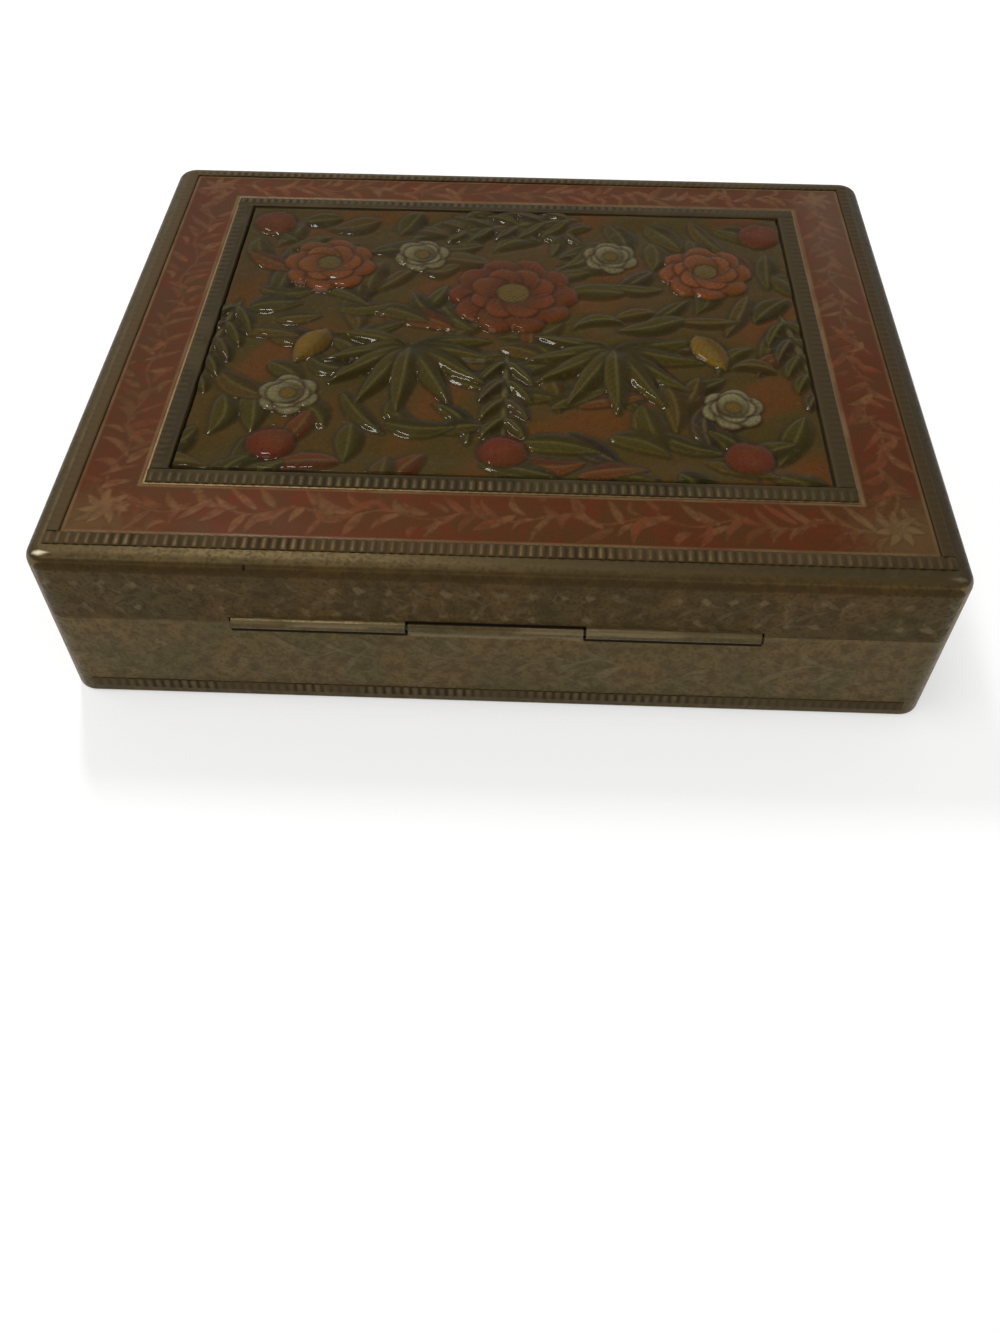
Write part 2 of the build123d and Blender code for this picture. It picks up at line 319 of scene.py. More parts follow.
# Rubbed high spots: a row of nicks low on the wall, a row of strokes high on it, and upright
# ties between them, all at one pitch.
pitch, low_row, high_row = 3.5, 18.2, 22.2
tremble = shell.cloud(spot, 1.5, 2.0) * 2.2
comb = ((x + y + tremble) / pitch).maths("FRACT") * pitch - 1.7
nick = (1.0 - abs(comb) - abs(z - low_row + tremble * 0.6) * 1.1).rise(0.0, 0.6)
nick = nick * shell.cloud(spot, 3.4, 2.0).rise(0.42, 0.58)
brush = (1.0 - abs(comb) * 1.1 - abs(z - high_row + tremble * 0.5) * 0.9).rise(0.0, 0.6)
brush = brush * shell.cloud(spot, 3.0, 2.0).rise(0.40, 0.56)
tie = (0.34 - abs(comb - 0.5)).rise(0.0, 0.3) * z.rise(17.4, 18.6) * (1 - z.rise(21.6, 22.6))
tie = tie * shell.cloud(spot, 2.4, 2.0).rise(0.44, 0.60)
tone = shell.over(nick.larger(brush).larger(tie * 0.6) * 0.55, tone, (0.135, 0.100, 0.050))
# The roll: painted shade below, streaked metal with a painted sheen along its top, and a painted
# highlight along a ridge at one end. One small dent on the hinge side is painted as a dark spot.
rolled = box_edge(x, y, 55.7, 45.2).rise(-0.3, 0.5)
# Painted shade under the roll.
shaded = z.rise(23.5, 23.9) * (1 - z.rise(24.4, 24.9)) * rolled
tone = shell.over(shaded * 0.55, tone, (0.036, 0.022, 0.008))
# Streaked metal along the top of the roll, partly a painted sheen.
roll_top = z.rise(24.8, 25.2) * rolled
streak = shell.cloud(spot, 0.8, 2.0, (14, 1, 1))
tone = shell.over(roll_top * (0.25 + streak * 0.35), tone, (0.066, 0.047, 0.021))
# A painted highlight along a ridge of the roll, brightest at one end.
ridge_highlight = rolled * (1 - abs(z - 25.15).rise(0.03, 0.12)) * x.rise(-20, 50)
tone = shell.over(ridge_highlight * (0.1 + streak * 0.4), tone, (0.110, 0.080, 0.039))
corner = (abs(x) + abs(y)).rise(102.2, 103.6)
tone = shell.over(corner * 0.35, tone, (0.130, 0.094, 0.047))
dent_x, dent_z = 30.3, 24.75
dent = (1 - (abs(x - dent_x) + abs(z - dent_z) * 0.8).rise(0.14, 0.42)) * y.rise(40, 41)
tone = shell.over(dent, tone, dirt_and_shade)
# The hinge: painted shade as a dark line over the middle knuckle and at its ends, and a pale line
# where the outer knuckles are soldered on, lightened further as a painted highlight.
at_hinge = y.rise(46.4, 46.8)
middle_end, outer_end = 11.15, 33.0
slot = (1 - abs(x).rise(middle_end, 11.35)) * (1 - z.rise(16.42, 16.60))
slot = slot.larger((1 - abs(abs(x) - middle_end).rise(0.14, 0.26)) * (1 - z.rise(16.4, 16.6)))
slot = slot * at_hinge
# Pale solder above the outer knuckles, lightened further as a painted highlight.
solder_and_highlight = at_hinge * abs(x).rise(11.2, 11.5) * (1 - abs(x).rise(outer_end, 33.4))
solder_and_highlight = solder_and_highlight * (1 - z.rise(16.15, 16.5))
tone = shell.over(solder_and_highlight * 0.6, tone, (0.135, 0.098, 0.048))
# Painted shade in the gaps of the hinge.
tone = shell.over(slot, tone, dirt_and_shade)
# The flat top, its hinge-side margin lightened as a painted sheen, painted shade along one end, a
# painted glint strongest on one corner, and the gilt line round the border of the plaque.
flat = z.rise(25.25, 25.35)
tone = shell.over(flat * 0.7, tone, (0.060, 0.044, 0.019))
# The hinge-side margin of the top is a little lighter: a painted sheen.
tone = shell.over(flat * y.rise(43.5, 44.2) * 0.8, tone, (0.064, 0.045, 0.020))
# Painted shade along one end of the top.
shaded_end = (1 - x.rise(-56.4, -54.6)) * z.rise(24.0, 24.8)
tone = shell.over(shaded_end * 0.5, tone, (0.030, 0.023, 0.014))
glint_x, glint_y, glint_z = 55.3, 45.5, 25.25
off_glint = abs(abs(x) - glint_x) * 0.42 + abs(abs(y) - glint_y) * 1.4 + abs(z - glint_z) * 1.4
# A painted glint, strongest on one corner.
painted_glint = (1 - off_glint.rise(0.15, 0.95)) * (0.12 + 0.83 * x.rise(0, 9) * y.rise(0, 9))
tone = shell.over(painted_glint, tone, (0.70, 0.60, 0.42))
plaque_y = -2.0
gold = flat * (1 - abs(box_edge(x, y, 45.45, 34.85, plaque_y)).rise(0.12, 0.3))
tone = shell.over(gold * 0.8, tone, (0.17, 0.105, 0.045))
# Inside, where no hand comes, the sheet is pale. The wall of the plaque's pocket is painted pale
# as well, as painted light against the shade round the plaque.
inner_x, inner_y = 57.05, 46.55
inside = 1 - box_edge(x, y, inner_x, inner_y).rise(-0.1, 0.1)
inside = inside * (1 - z.rise(24.6, 24.9))
tone = shell.over(inside * 0.75, tone, (0.150, 0.110, 0.055))
# The pocket wall is lightened as painted light against its shade.
pocket = (1 - box_edge(x, y, 42.9, 32.3, plaque_y).rise(-0.1, 0.1)) * z.rise(24.3, 24.5)
tone = shell.over(pocket * 0.9, tone, (0.082, 0.058, 0.026))
worked = patch * -0.03 + speck * -0.016 - chased * 0.06 - nick * 0.04
shell_finish = shell.shade(
    Base_Color=tone,
    Metallic=(0.92 - patch * 0.3) * (1 - slot.larger(pocket * 0.8)),
    Roughness=0.42 + speck * 0.14 + roll_top * 0.10 + slot * 0.4,
    Specular_IOR_Level=0.05,
    Normal=shell.relief(worked * (1 - z.rise(24.7, 25.1) * 0.8)),
)


def refinish(node, finish):
    """Gives a CAD piece its finish; its mesh stays."""
    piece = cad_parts[node]
    piece.data.materials.clear()
    piece.data.materials.append(finish)


refinish("lid_shell", shell_finish)

# Base wall
# One strip of brass sheet folded round four corners. It is paler and greener than the lid,
# finely mottled, with the ghost of a chased sprig and a painted highlight along its rim.
wall = Finish("base_brass")
spot = wall.place()
x, y, z = wall.split(spot)
tone, patch, speck = aged_brass(
    wall, spot, (0.118, 0.078, 0.032), (0.054, 0.037, 0.015), (0.092, 0.071, 0.030), size=0.85
)
wander = wall.cloud(spot, 5, 1.0) * 2.6
along = x + y + wander
upper = sprigs(
    wall, along, z + wander * 0.6, middle=10.4, pitch=5.6, rise=1.6, length=2.0, width=0.55
)
lower = sprigs(
    wall, along * -1 + 2.1, z + wander * 0.9, middle=7.0, pitch=4.3, rise=1.0, length=1.5, width=0.60
)
chased = upper.larger(lower * 0.75) * wall.cloud(spot, 8, 2.0).rise(0.36, 0.62)
tone = wall.over(chased * 0.34, tone, (0.165, 0.128, 0.068))
near_foot = 1 - z.rise(0.3, 5.0)
tone = wall.over(near_foot * 0.35, tone, (0.060, 0.043, 0.022))
# The hinge: a pale seam of solder, partly a painted highlight, under the middle knuckle, and
# painted shade as dark lines under the outer two and at the ends of the middle one and of one outer
# one.
at_hinge = y.rise(46.4, 46.8)
# Pale solder under the middle knuckle, lightened as a painted highlight.
solder_and_highlight = at_hinge * (1 - abs(x).rise(10.5, 11.0)) * z.rise(13.4, 13.8)
solder_and_highlight = solder_and_highlight * wall.cloud(spot, 2.4, 2.0, (4, 1, 1)).rise(0.38, 0.60)
tone = wall.over(solder_and_highlight * 0.6, tone, (0.190, 0.145, 0.078))
left_end = -33.55
under_outer = abs(x).rise(11.05, 11.25) * (1 - abs(x).rise(33.5, 33.7))
# Painted shade in the gaps under and beside the knuckles.
slot = under_outer * z.rise(13.54, 13.72)
slot = slot.larger((1 - abs(abs(x) - middle_end).rise(0.14, 0.28)) * z.rise(13.9, 14.05))
slot = slot.larger((1 - abs(x - left_end).rise(0.12, 0.26)) * z.rise(13.9, 14.1))
slot = slot * at_hinge
tone = wall.over(slot, tone, dirt_and_shade)
# A painted highlight along the rim.
rim = z.rise(14.3, 15.2)
tone = wall.over(rim * 0.35, tone, (0.125, 0.090, 0.048))
corner = (abs(x) + abs(y)).rise(102.2, 103.6)
tone = wall.over(corner * 0.45, tone, (0.17, 0.13, 0.080))
inside = 1 - box_edge(x, y, inner_x, inner_y).rise(-0.1, 0.1)
tone = wall.over(inside * 0.7, tone, (0.150, 0.110, 0.055))
wall_finish = wall.shade(
    Base_Color=tone,
    Metallic=(0.92 - patch * 0.3) * (1 - slot),
    Roughness=0.42 + speck * 0.14 + slot * 0.4,
    Specular_IOR_Level=0.05,
    Normal=wall.relief(patch * -0.025 + speck * -0.016 - chased * 0.06),
)
refinish("base_wall", wall_finish)

# Base floor
# A flat brass plate soldered inside the foot of the wall. Its underside is rubbed dull by the
# surfaces that the box has stood and slid on.
plate = Finish("plate_brass")
spot = plate.place()
tone, patch, speck = aged_brass(
    plate, spot, (0.105, 0.078, 0.040), (0.060, 0.044, 0.022), (0.085, 0.068, 0.036), size=1.4
)
scuff = plate.cloud(spot, 0.25, 4.0, (60, 1, 1)).rise(0.58, 0.75)
scuff = scuff.larger(plate.cloud(spot, 0.22, 4.0, (1, 45, 1)).rise(0.60, 0.75))
tone = plate.over(scuff * 0.4, tone, (0.19, 0.145, 0.080))
plate_finish = plate.shade(
    Base_Color=tone,
    Metallic=0.9 - patch * 0.3,
    Roughness=0.46 + speck * 0.15 - scuff * 0.1,
    Normal=plate.relief(patch * -0.02 - scuff * 0.015),
)
refinish("base_floor", plate_finish)

# Hinge knuckles
# Three lengths of drawn brass tube, the middle one soldered to the base and the outer two to
# the lid. Handling wear and a painted highlight brighten their crowns; painted shade darkens their
# seams.
tube = Finish("tube_brass")
spot = tube.place()
x, y, z = tube.split(spot)
tone, patch, speck = aged_brass(
    tube, spot, (0.095, 0.068, 0.031), (0.055, 0.040, 0.018), (0.082, 0.065, 0.031), size=0.8
)
drawn = tube.cloud(spot, 0.16, 3.0, (70, 1, 1))
handled_and_lit = tube.cloud(spot, 2.2, 2.0, (5, 1, 1)).rise(0.46, 0.60)
# Bright crowns from handling wear and a painted highlight.
crown = z.rise(15.35, 15.6) * y.rise(47.05, 47.35) * handled_and_lit
tone = tube.over(crown * (0.20 + drawn * 0.5), tone, (0.21, 0.160, 0.088))
# Painted shade lies along the side that moves past the other body, and solder, partly a painted
# highlight, along the side that is fixed. The ends of the knuckles carry painted shade, except at the
# far right.
middle = 1 - abs(x).rise(11.1, 11.2)
# Painted shade: dark lines along the moving side of each knuckle and at their ends.
seam_shade = middle * (1 - y.rise(47.10, 47.30)) * z.rise(15.3, 15.6)
seam_shade = seam_shade.larger((1 - middle) * (1 - z.rise(14.76, 14.92)))
# Pale solder along the fixed side, lightened as a painted highlight.
solder_and_sheen = (1 - middle) * z.rise(15.6, 15.9) + middle * (1 - z.rise(15.0, 15.3)) * 0.9
solder_and_sheen = solder_and_sheen * (0.4 + 0.6 * tube.cloud(spot, 2.6, 2.0, (4, 1, 1)).rise(0.42, 0.60))
tone = tube.over(solder_and_sheen * 0.7, tone, (0.165, 0.121, 0.060))
outer_middle, outer_half = 22.3, 11.0
end = 1 - abs(abs(abs(x) - outer_middle) - outer_half).rise(0.03, 0.14)
seam_shade = seam_shade.larger(end * 0.7 * (1 - x.rise(20, 30)))
tone = tube.over(seam_shade, tone, dirt_and_shade)
tube_finish = tube.shade(
    Base_Color=tone,
    Metallic=(0.92 - patch * 0.25) * (1 - seam_shade),
    Roughness=0.40 + speck * 0.16 - crown * 0.08 + seam_shade * 0.4,
    Specular_IOR_Level=0.05,
    Normal=tube.relief(drawn * 0.02 - patch * 0.012),
)
for node in ("base_knuckle", "lid_knuckle_left", "lid_knuckle_right"):
    refinish(node, tube_finish)

# Hinge pin
# Drawn steel wire held in the base knuckle. It shows only in the narrow gaps between the
# knuckles, where it is stained brown.
wire = Finish("pin_steel")
spot = wire.place()
lines = wire.cloud(spot, 0.08, 3.0, (40, 1, 1))
stain = wire.cloud(spot, 0.9, 3.0).rise(0.45, 0.65)
tone = wire.over(stain * 0.7, (0.050, 0.040, 0.028), (0.022, 0.012, 0.006))
wire_finish = wire.shade(
    Base_Color=tone,
    Metallic=0.6 - stain * 0.5,
    Roughness=0.5 + stain * 0.3,
    Specular_IOR_Level=0.1,
    Normal=wire.relief(lines * 0.01),
)
refinish("hinge_pin", wire_finish)


# Milled borders
# Flat brass wire rolled between toothed wheels, which leave a row of beads, and soldered down
# round the enamel, round the plaque and round the foot. Beads are worn pale, gaps are dirty.
def milled_wire(node, body, pitch, finish, seed, plain=0.0, beaded=1.0):
    """Beads in a row, in the place of a CAD strip. Around the wire a fixed outline with rounded
    shoulders is scaled by the height at each station; along it that height is a thin web plus
    a cosine hump at each bead, and no two beads are quite alike. plain is how far the beads
    are worn down, and beaded is the share of the width that has them, from the outer edge."""
    low, high = (np.array(corner) * 1000 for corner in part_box(node))
    size = high - low
    run, out = int(size.argmax()), int(size.argmin())
    across = 3 - run - out
    count = max(2, round(size[run] / pitch))
    chance = np.random.default_rng(seed)
    worn = 1 - 0.28 * chance.random(count + 1) ** 2
    per_bead, web, shoulder = 10, 0.34, 0.84
    station = np.arange(count * per_bead + 1) / per_bead
    hump = (0.5 - 0.5 * np.cos(2 * pi * station)) ** 0.6 * worn[station.astype(int)]
    outline = np.array([
        (-1, 0), (-1, 0.35), (-0.96, 0.62), (-shoulder, 0.86), (-0.6, 0.97), (-0.4, 1), (-0.15, 1),
        (0.15, 1), (0.4, 1), (0.6, 0.97), (shoulder, 0.86), (0.96, 0.62), (1, 0.35), (1, 0),
    ])
    middle = (low[across] + high[across]) / 2
    outward = outline[:, 0] * (1 if middle > 0 else -1)
    has_beads = np.clip((outward - (1 - 2 * beaded)) / 0.2 + 1, 0, 1)
    bead = hump[:, None] * has_beads * (1 - plain)
    level = bead + 0.8 * (1 - has_beads) + 0.85 * plain * has_beads
    points = np.zeros((len(station) + 2, len(outline), 3))
    sign = 1 if low[out] + high[out] > 0 else -1
    seat = low[out] if sign > 0 else high[out]
    points[1:-1, :, run] = (low[run] + station / count * size[run])[:, None]
    points[1:-1, :, across] = middle + outline[:, 0] * size[across] / 2
    points[1:-1, :, out] = seat + sign * size[out] * (web + (1 - web) * level) * outline[:, 1]
    points[0], points[-1] = points[1].mean(0), points[-2].mean(0)
    # The crest says how pale each point is: most on the beads, a little on the plain parts and
    # more along their shoulders, and less down the sides.
    along_shoulder = 0.35 * np.exp(-((abs(outline[:, 0]) - shoulder) / 0.14) ** 2)
    on_plain = (0.25 + along_shoulder) * (level - bead)
    crest = np.zeros(points.shape[:2])
    crest[1:-1] = (bead * (0.85 + 0.2 * outward) + on_plain) * (0.3 + 0.7 * outline[:, 1])
    faces = weave(len(points), len(outline), ring=True)
    axes = np.zeros((3, 3))
    axes[0, across], axes[1, out], axes[2, run] = 1, sign, 1
    if np.linalg.det(axes) > 0:
        faces = faces[:, ::-1]
    piece = skin(node + "_beads", points.reshape(-1, 3), faces, crest=crest.ravel())
    piece.data.materials.append(finish)
    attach(piece, body)
    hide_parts(node)


def bead_finish(name, bead, gap, stain):
    """Pale worn beads over dirty gaps, with a stain clouded over both. Old polish has filled
    the gaps in places, most of all towards the corners."""
    finish = Finish(name)
    spot = finish.place()
    x, _, _ = finish.split(spot)
    speck = finish.cloud(spot, 0.35, 3.0)
    patch = finish.cloud(spot, 5.0, 3.0).rise(0.38, 0.62)
    filled = finish.cloud(spot, 10.0, 2.0).rise(0.46, 0.64) * 0.65
    filled = filled.larger(0.8 - x.rise(-42, -18) * 0.8).larger(x.rise(45, 53) * 0.8)
    paste = tuple(0.45 * pale + 0.55 * dark for pale, dark in zip(bead, gap))
    crest = finish.trait("crest")
    worn = (crest + (speck - 0.5) * 0.5).rise(0.05, 1.0)
    tone = finish.over(worn * (1 - patch * 0.35), gap, bead)
    tone = finish.over(patch * 0.30, tone, stain)
    tone = finish.over(filled, tone, paste)
    # The end towards -x is darker, as painted shade.
    tone = finish.over((1 - x.rise(-50, -36)) * 0.35, tone, gap)
    return finish.shade(
        Base_Color=tone,
        Metallic=0.45 + worn * 0.45,
        Roughness=0.58 - worn * 0.10 + speck * 0.1,
        Specular_IOR_Level=0.04,
        Normal=finish.relief(speck * -0.03),
    )


outer_beads = bead_finish(
    "outer_beads", bead=(0.112, 0.073, 0.032), gap=(0.027, 0.017, 0.007), stain=(0.052, 0.032, 0.014)
)
foot_beads = bead_finish(
    "foot_beads", bead=(0.112, 0.079, 0.036), gap=(0.028, 0.018, 0.008), stain=(0.070, 0.047, 0.021)
)
inner_beads = bead_finish(
    "inner_beads", bead=(0.086, 0.060, 0.026), gap=(0.024, 0.017, 0.007), stain=(0.040, 0.032, 0.018)
)
bead_pitch, inner_share = 1.2, 0.62
worn_down = {"front": 0.3, "back": 0.0, "left": 0.75, "right": 0.75}
for number, (side, plain) in enumerate(worn_down.items()):
    milled_wire(
        "outer_border_" + side, "lid", bead_pitch, outer_beads, 10 + number, plain
    )
    milled_wire("foot_border_" + side, "base", bead_pitch, foot_beads, 20 + number)
    milled_wire(
        "inner_border_" + side, "lid", bead_pitch, inner_beads, 30 + number,
        plain, inner_share,
    )


# Enamelled band
# Brick-red enamel fired into a shallow channel of the lid, with a running vine brushed on in
# paler strokes. It has worn through to golden brown at the corners nearest the hinge.
def smooth(value, start, end):
    """0 up to start, 1 from end on, and a smooth slope between."""
    share = np.clip((value - start) / (end - start), 0, 1)
    return share * share * (3 - 2 * share)


def leaf(x, y, root, heading, length, width, bend=0.0):
    """How far inside a leaf each point is, in millimetres, its share of the leaf's length, and
    its side of the midrib from -1 to 1. The half width is a hump, fullest at two fifths of the
    length, and the midrib bows aside by bend in the middle."""
    turned = radians(heading)
    run = ((x - root[0]) * cos(turned) + (y - root[1]) * sin(turned)) / length
    share = np.clip(run, 0, 1)
    off = (y - root[1]) * cos(turned) - (x - root[0]) * sin(turned) - bend * 4 * share * (1 - share)
    half = width * 3.15 * share ** 0.7 * (1 - share) + 1e-6
    inside = np.where((run > 0) & (run < 1), half - np.abs(off), -1.0)
    return inside, share, np.clip(off / half, -1, 1)


def swell(x, y, length, seed):
    """A smooth random swell from -1 to 1: eight plane waves of about that length, in mm."""
    chance = np.random.default_rng(seed)
    total = np.zeros_like(x)
    for heading, phase, stretch in chance.random((8, 3)):
        wave = 2 * pi / (length * (0.7 + 0.7 * stretch))
        total += np.sin(wave * (x * cos(2 * pi * heading) + y * sin(2 * pi * heading)) + 2 * pi * phase)
    return total / 4


def lines_between(stops, step):
    """Grid lines from stop to stop, at most a step apart, with close ones beside each stop."""
    close, next_close = 0.05, 0.12
    found = []
    for start, end in zip(stops[:-1], stops[1:]):
        count = int((end - start) / step)
        between = np.linspace(start + next_close, end - next_close, count)
        found += [[start, start + close], between, [end - close]]
    return np.concatenate(found + [stops[-1:]])


low, high = (np.array(corner) * 1000 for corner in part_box("enamel_border"))
hole_x, hole_low, hole_high = 45.6, -37.0, 33.0
band_step = 0.24
columns = lines_between([low[0], -hole_x, hole_x, high[0]], band_step)
rows = lines_between([low[1], hole_low, hole_high, high[1]], band_step)
band_x, band_y = (grid.ravel() for grid in np.meshgrid(columns, rows))
faces = weave(len(rows), len(columns))
centre_x, centre_y = band_x[faces].mean(1), band_y[faces].mean(1)
in_band = (abs(centre_x) > hole_x) | (centre_y < hole_low) | (centre_y > hole_high)
used, faces = np.unique(faces[in_band], return_inverse=True)
faces = faces.reshape(-1, 4)
band_x, band_y = band_x[used], band_y[used]

# The vine runs along the middle of each side of the band. Each course has its start, its
# direction, its length and the room beside it, and its stem sways; leaves spring from it to
# both sides in turn, cut short where the band ends.
chance = np.random.default_rng(7)
stroke, ruddy, groove = np.zeros_like(band_x), np.zeros_like(band_x), np.zeros_like(band_x)
courses = (
    ((-49.0, 37.3), (1, 0), 98.0, 3.4),
    ((49.0, -40.3), (-1, 0), 98.0, 2.6),
    ((49.6, 34.0), (0, -1), 71.0, 3.0),
    ((-49.6, -37.5), (0, 1), 71.0, 3.0),
)
leaf_step, sway_size, sway_length = 1.2, 0.7, 11
for (start_x, start_y), (go_x, go_y), length, room_aside in courses:
    heading = np.degrees(np.arctan2(go_y, go_x))
    for step in np.arange(0, length, leaf_step):
        side = 1 if int(step / leaf_step) % 2 else -1
        sway = sway_size * sin(2 * pi * step / sway_length)
        aside = sway + chance.normal(0, 0.9)
        root = (start_x + go_x * step - go_y * aside, start_y + go_y * step + go_x * aside)
        slant = side * chance.uniform(28, 72)
        room = (room_aside + 0.8 - side * aside) / abs(sin(radians(slant)))
        size = min(chance.uniform(3.0, 6.2), room)
        bow = side * chance.uniform(-1.0, 0.3)
        width = chance.uniform(0.36, 0.70)
        inside, share, _ = leaf(band_x, band_y, root, heading + slant, size, width, bow)
        touch = smooth(inside, -0.10, 0.14) * (0.35 + 0.65 * chance.random())
        stroke = np.maximum(stroke, touch * (1 - 0.35 * share))
        ruddy = np.where(touch > 0.3, chance.random(), ruddy)
        groove = np.maximum(groove, np.exp(-((inside + 0.12) / 0.12) ** 2) * (inside > -0.9))
    trail = (band_x - start_x) * go_x + (band_y - start_y) * go_y
    aside = (band_y - start_y) * go_x - (band_x - start_x) * go_y
    aside = aside - sway_size * np.sin(2 * pi * trail / sway_length)
    stem = smooth(0.24 - abs(aside), 0, 0.16) * ((trail > -1) & (trail < length + 1))
    stroke = np.maximum(stroke, 0.5 * stem)
# A small star flower sits in each corner.
petals = 7
for corner_x, corner_y in ((-49.3, 37.3), (49.3, 37.3), (-49.6, -40.2), (49.6, -40.2)):
    for petal in range(petals):
        heading = petal * 360 / petals + 12
        inside, _, _ = leaf(
            band_x, band_y, (corner_x, corner_y), heading, length=3.4, width=0.62, bend=0.25
        )
        stroke = np.maximum(stroke, smooth(inside, -0.08, 0.16) * 0.9)
        groove = np.maximum(groove, np.exp(-((inside + 0.1) / 0.12) ** 2) * (inside > -0.9))
    heart = smooth(0.8 - np.hypot(band_x - corner_x, band_y - corner_y), -0.1, 0.1)
    stroke = np.maximum(stroke, heart)
middle_y = (low[1] + high[1]) / 2
from_outside = np.minimum(high[0] - abs(band_x), (high[1] - low[1]) / 2 - abs(band_y - middle_y))
from_hole = np.maximum(abs(band_x) - hole_x, np.maximum(hole_low - band_y, band_y - hole_high))
edge = np.minimum(from_outside, from_hole)
gilt = 1 - smooth(edge, 0.28, 0.5)
top = high[2] + 0.03 + 0.02 * swell(band_x, band_y, 7, 3) + 0.015 * stroke - 0.012 * groove
top = low[2] + (top - low[2]) * (0.7 + 0.3 * smooth(edge, -0.02, 0.15))
band_points = np.column_stack([band_x, band_y, top])
corner_wear = 0.9 * np.exp(-(((band_x + 51) / 8) ** 2 + ((band_y - 39) / 7) ** 2))
corner_wear += 0.75 * np.exp(-(((band_x - 53) / 11) ** 2 + ((band_y - 42) / 7) ** 2))
band = skin(
    "enamel_band", band_points, faces,
    stroke=stroke, ruddy=ruddy, gilt=gilt, groove=groove, wear=corner_wear,
)
enamel = Finish("enamel")
spot = enamel.place()
x, y, _ = enamel.split(spot)
cloudy = enamel.cloud(spot, 6.0, 3.0).rise(0.35, 0.65)
grain = enamel.cloud(spot, 0.5, 4.0)
fleck = enamel.cloud(spot, 0.22, 2.0).rise(0.62, 0.75)
tone = enamel.over(cloudy * 0.9, (0.067, 0.0165, 0.0035), (0.054, 0.021, 0.0045))
redder = enamel.cloud(spot, 2.6, 3.0).rise(0.50, 0.66)
tone = enamel.over(redder * 0.5, tone, (0.090, 0.014, 0.003))
tone = enamel.over(grain.rise(0.42, 0.62) * 0.3, tone, (0.080, 0.024, 0.006))
tone = enamel.over(fleck * 0.25, tone, (0.040, 0.018, 0.008))
tone = enamel.over(enamel.trait("groove") * 0.22, tone, (0.058, 0.019, 0.007))
# The strokes are straw-coloured, a few of them rosy, and thin where the brush ran dry.
pale = enamel.over(enamel.trait("ruddy").rise(0.6, 0.95), (0.150, 0.072, 0.028), (0.158, 0.040, 0.014))
brushed = enamel.cloud(spot, 1.3, 3.0).rise(0.34, 0.62)
tone = enamel.over(enamel.trait("stroke") * (0.14 + grain * 0.30 + brushed * 0.42), tone, pale)
# One side is rubbed dull, the other carries painted shade, and two corners are worn to the metal.
rubbed = (1 - x.rise(-50, -43)) * (1 - y.rise(-34, 8))
tone = enamel.over(rubbed * 0.32, tone, (0.100, 0.068, 0.042))
# Painted shade along one side of the band.
shaded_side = x.rise(43, 50) * (1 - y.rise(28, 36))
tone = enamel.over(shaded_side * 0.22, tone, (0.030, 0.012, 0.003))
bare = (enamel.trait("wear") * 1.2 + (grain - 0.5) * 0.5 + brushed * 0.25).rise(0.25, 1.25)
tone = enamel.over(bare * 0.72, tone, (0.084, 0.052, 0.019))
tone = enamel.over(bare * enamel.trait("stroke") * 0.42, tone, (0.140, 0.095, 0.038))
tone = enamel.over(bare * enamel.trait("groove") * 0.4, tone, (0.036, 0.019, 0.007))
tone = enamel.over(enamel.trait("gilt") * (0.35 + cloudy * 0.4), tone, (0.155, 0.098, 0.045))
enamel_finish = enamel.shade(
    Base_Color=tone,
    Roughness=0.42 + grain * 0.2,
    Metallic=0.25,
    Specular_IOR_Level=0.03,
    Coat_Weight=0.07 - bare * 0.03,
    Coat_Roughness=0.2,
    Normal=enamel.relief(grain * 0.025 + fleck * -0.01),
)
band.data.materials.append(enamel_finish)
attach(band, "lid")
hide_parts("enamel_border")

# Plaque
# Thin metal embossed from behind into a garden of sprays, blossoms, buds and fruits, painted in
# oil colours and flooded with clear lacquer, which glints on every swelling.
low, high = (np.array(corner) * 1000 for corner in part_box("relief_plaque"))
across, deep = 372, 256
start_lines, end_lines = (0.0, 0.0012), (0.9988, 1.0)
columns = np.concatenate([start_lines, np.linspace(0.003, 0.997, across), end_lines])
rows = np.concatenate([start_lines, np.linspace(0.004, 0.996, deep), end_lines])
px, py = np.meshgrid(low[0] + columns * (high[0] - low[0]), low[1] + rows * (high[1] - low[1]))
half_x, half_y = (high[0] - low[0]) / 2, (high[1] - low[1]) / 2
centre_y = (low[1] + high[1]) / 2
relief_depth = 0.8
ground = high[2] - relief_depth
height = np.zeros_like(px)
# The ground is painted brown, with broad patches of green and of a warm red-brown.
paint = np.ones((*px.shape, 3)) * (0.060, 0.033, 0.007)
lush = 0.6 * smooth(swell(px, py, 26, 5), -0.6, 0.6)[..., None]
paint = paint * (1 - lush) + np.array((0.044, 0.035, 0.006)) * lush
warm = 0.8 * smooth(swell(px, py, 17, 9), 0.0, 0.7)[..., None]
paint = paint * (1 - warm) + np.array((0.098, 0.032, 0.006)) * warm


def at(across_share, up_share):
    """A place on the plaque, as shares of its half sizes from the middle."""
    return across_share * half_x, centre_y + up_share * half_y


def lay(inside, rise, colour, line=(0.020, 0.015, 0.007), line_width=0.32):
    """Lays a motif over what is there: a dark line sinks in round it, then its colour and its
    rise above the ground cover it."""
    global height, paint
    sunk, darkness, soft_edge = 0.10, 0.75, 0.16
    ring = np.exp(-((inside + line_width * 0.5) / line_width) ** 2) * (inside > -0.95)
    height = height - sunk * ring
    dark = darkness * ring[..., None]
    paint = paint * (1 - dark) + np.array(line) * dark
    cover = smooth(inside, -soft_edge / 2, soft_edge)
    height = height * (1 - cover) + rise * cover
    paint = paint * (1 - cover[..., None]) + colour * cover[..., None]


